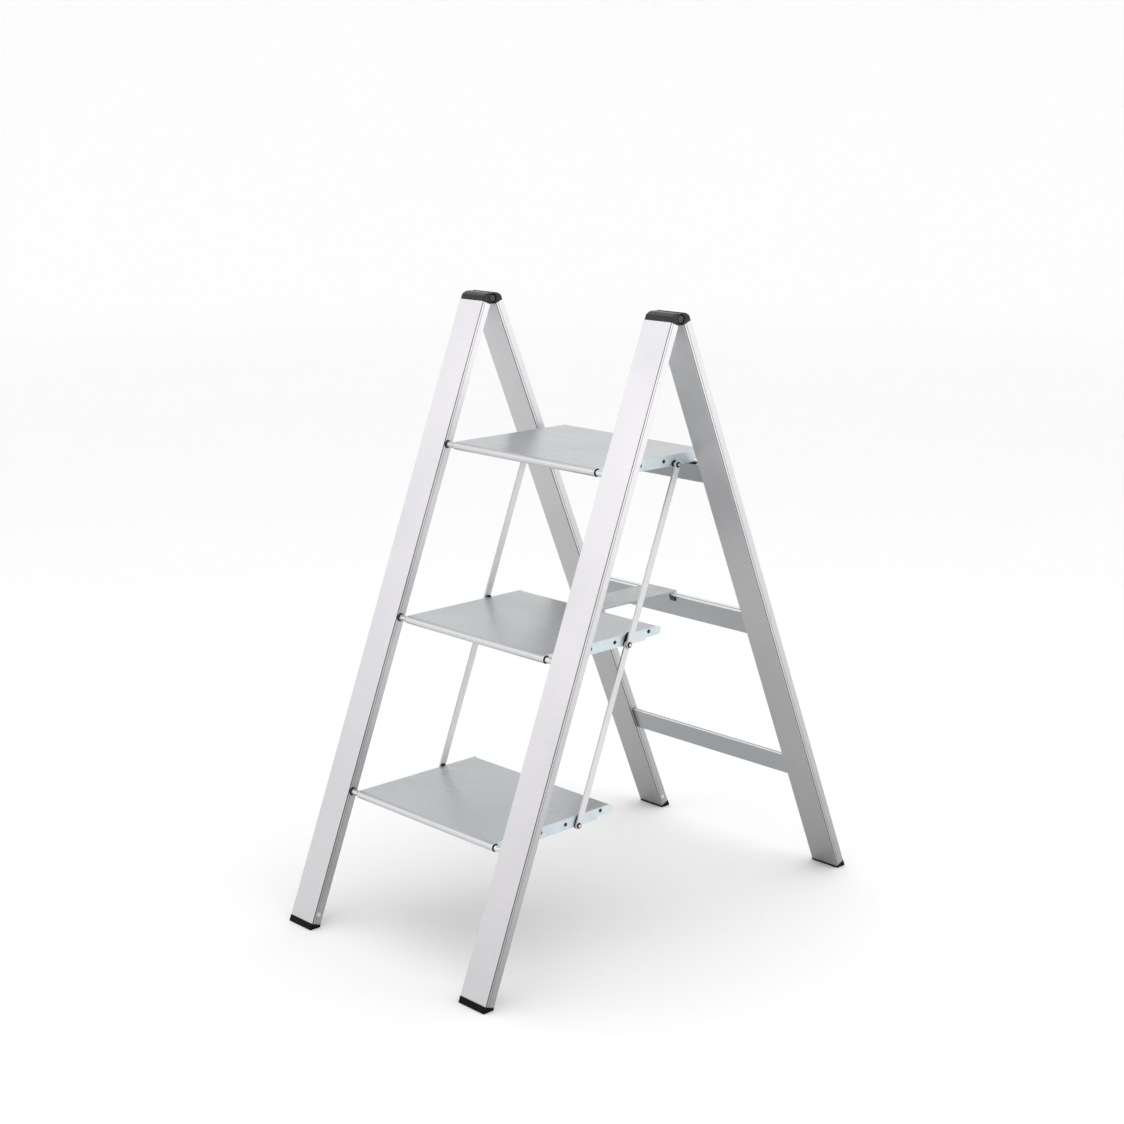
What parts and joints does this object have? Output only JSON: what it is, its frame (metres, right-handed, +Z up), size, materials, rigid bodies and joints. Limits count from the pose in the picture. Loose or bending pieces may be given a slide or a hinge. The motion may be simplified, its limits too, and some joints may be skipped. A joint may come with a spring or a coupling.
{
  "type": "folding step ladder",
  "caption": "Slim folding step ladder of flat box rails with flat treads, hinged at two top caps and held open by a sheet spreader; it folds flat.",
  "frame": {"origin": "on the floor, under the middle of the open ladder's box", "axes": "+Z up, -Y towards the climber, +X to the climber's right when facing the ladder"},
  "size_m": [0.4614, 0.8165, 0.9642],
  "materials": {
    "rail": "satin anodised extrusion",
    "tread_deck": "satin anodised extrusion with fine lengthwise grain",
    "crossbar": "satin anodised extrusion",
    "link_bar": "satin drawn flat bar",
    "zinc_plate": "pale blue zinc-plated sheet steel",
    "spreader_sheet": "zinc-plated sheet steel, satin",
    "bright_steel": "bright turned steel",
    "dark_steel": "blackened steel rivets and screws",
    "cap_plastic": "fine textured black-grey moulding with a satin sheen",
    "foot_rubber": "soft black moulding",
    "black_plastic": "black low-friction plastic"
  },
  "bodies": {
    "front_frame": {"front_rail_right": "rail", "front_rail_left": "rail", "front_foot_right": "foot_rubber", "front_foot_left": "foot_rubber", "front_hinge_cap_right": "cap_plastic", "front_hinge_cap_left": "cap_plastic", "hinge_pin_right": "dark_steel", "hinge_pin_left": "dark_steel", "bottom_tread_rod": "bright_steel", "middle_tread_rod": "bright_steel", "top_tread_rod": "bright_steel", "rod_washers": "black_plastic", "rod_spacers": "bright_steel", "front_foot_rivets": "bright_steel"},
    "rear_frame": {"rear_rail_right": "rail", "rear_rail_left": "rail", "rear_foot_right": "foot_rubber", "rear_foot_left": "foot_rubber", "rear_hinge_cap_right": "cap_plastic", "rear_hinge_cap_left": "cap_plastic", "top_crossbar": "crossbar", "middle_crossbar": "crossbar", "lower_crossbar": "crossbar", "crossbar_inserts": "black_plastic", "crossbar_screws": "bright_steel", "tread_rest_pads": "foot_rubber", "spreader_rear_brackets": "dark_steel", "spreader_rear_pin": "bright_steel", "rear_foot_rivets": "bright_steel"},
    "top_tread": {"top_deck": "tread_deck", "top_side_plate_right": "zinc_plate", "top_side_plate_left": "zinc_plate", "top_plate_rivets": "dark_steel", "top_nose_bushes": "black_plastic", "top_link_pins": "bright_steel", "top_slip_pads": "black_plastic", "top_link_spacers": "bright_steel"},
    "middle_tread": {"middle_deck": "tread_deck", "middle_side_plate_right": "zinc_plate", "middle_side_plate_left": "zinc_plate", "middle_plate_rivets": "dark_steel", "middle_nose_bushes": "black_plastic", "middle_link_pins": "bright_steel", "middle_slip_pads": "black_plastic", "spreader_front_bracket": "zinc_plate", "spreader_front_pin": "bright_steel"},
    "bottom_tread": {"bottom_deck": "tread_deck", "bottom_side_plate_right": "zinc_plate", "bottom_side_plate_left": "zinc_plate", "bottom_plate_rivets": "dark_steel", "bottom_nose_bushes": "black_plastic", "bottom_link_pins": "bright_steel", "bottom_slip_pads": "black_plastic"},
    "upper_link_right": {"upper_link_right": "link_bar"},
    "upper_link_left": {"upper_link_left": "link_bar"},
    "lower_link_right": {"lower_link_right": "link_bar"},
    "lower_link_left": {"lower_link_left": "link_bar"},
    "spreader": {"spreader_plate": "spreader_sheet"}
  },
  "joints": [
    {"name": "rear_frame_fold", "type": "hinge", "parent": "front_frame", "child": "rear_frame", "pos_m": [0, -0.0156, 0.955], "axis": [-1, 0, 0], "range_deg": [0, 44.2]},
    {"name": "top_tread_fold", "type": "hinge", "parent": "front_frame", "child": "top_tread", "pos_m": [0, -0.11302, 0.7332], "axis": [1, 0, 0], "range_deg": [0, 67.9]},
    {"name": "middle_tread_fold", "type": "hinge", "parent": "front_frame", "child": "middle_tread", "pos_m": [0, -0.21556, 0.4702], "axis": [1, 0, 0], "range_deg": [0, 67.9]},
    {"name": "bottom_tread_fold", "type": "hinge", "parent": "front_frame", "child": "bottom_tread", "pos_m": [0, -0.3181, 0.2072], "axis": [1, 0, 0], "range_deg": [0, 67.9]},
    {"name": "upper_link_turn_right", "type": "hinge", "parent": "top_tread", "child": "upper_link_right", "pos_m": [0, 0.05248, 0.7247], "axis": [-1, 0, 0], "range_deg": [0, 67.9]},
    {"name": "upper_link_turn_left", "type": "hinge", "parent": "top_tread", "child": "upper_link_left", "pos_m": [0, 0.05248, 0.7247], "axis": [-1, 0, 0], "range_deg": [0, 67.9]},
    {"name": "lower_link_turn_right", "type": "hinge", "parent": "middle_tread", "child": "lower_link_right", "pos_m": [0, -0.05006, 0.4617], "axis": [-1, 0, 0], "range_deg": [0, 67.9]},
    {"name": "lower_link_turn_left", "type": "hinge", "parent": "middle_tread", "child": "lower_link_left", "pos_m": [0, -0.05006, 0.4617], "axis": [-1, 0, 0], "range_deg": [0, 67.9]},
    {"name": "spreader_turn", "type": "hinge", "parent": "middle_tread", "child": "spreader", "pos_m": [0, -0.01186, 0.4632], "axis": [-1, 0, 0], "range_deg": [0, 181.47]}
  ],
  "couplings": [
    {"joint": "top_tread_fold", "follows": "rear_frame_fold", "ratio": 1.5362},
    {"joint": "middle_tread_fold", "follows": "rear_frame_fold", "ratio": 1.5362},
    {"joint": "bottom_tread_fold", "follows": "rear_frame_fold", "ratio": 1.5362},
    {"joint": "upper_link_turn_right", "follows": "rear_frame_fold", "ratio": 1.5362},
    {"joint": "upper_link_turn_left", "follows": "rear_frame_fold", "ratio": 1.5362},
    {"joint": "lower_link_turn_right", "follows": "rear_frame_fold", "ratio": 1.5362},
    {"joint": "lower_link_turn_left", "follows": "rear_frame_fold", "ratio": 1.5362},
    {"joint": "spreader_turn", "follows": "rear_frame_fold", "ratio": 4.1056}
  ]
}
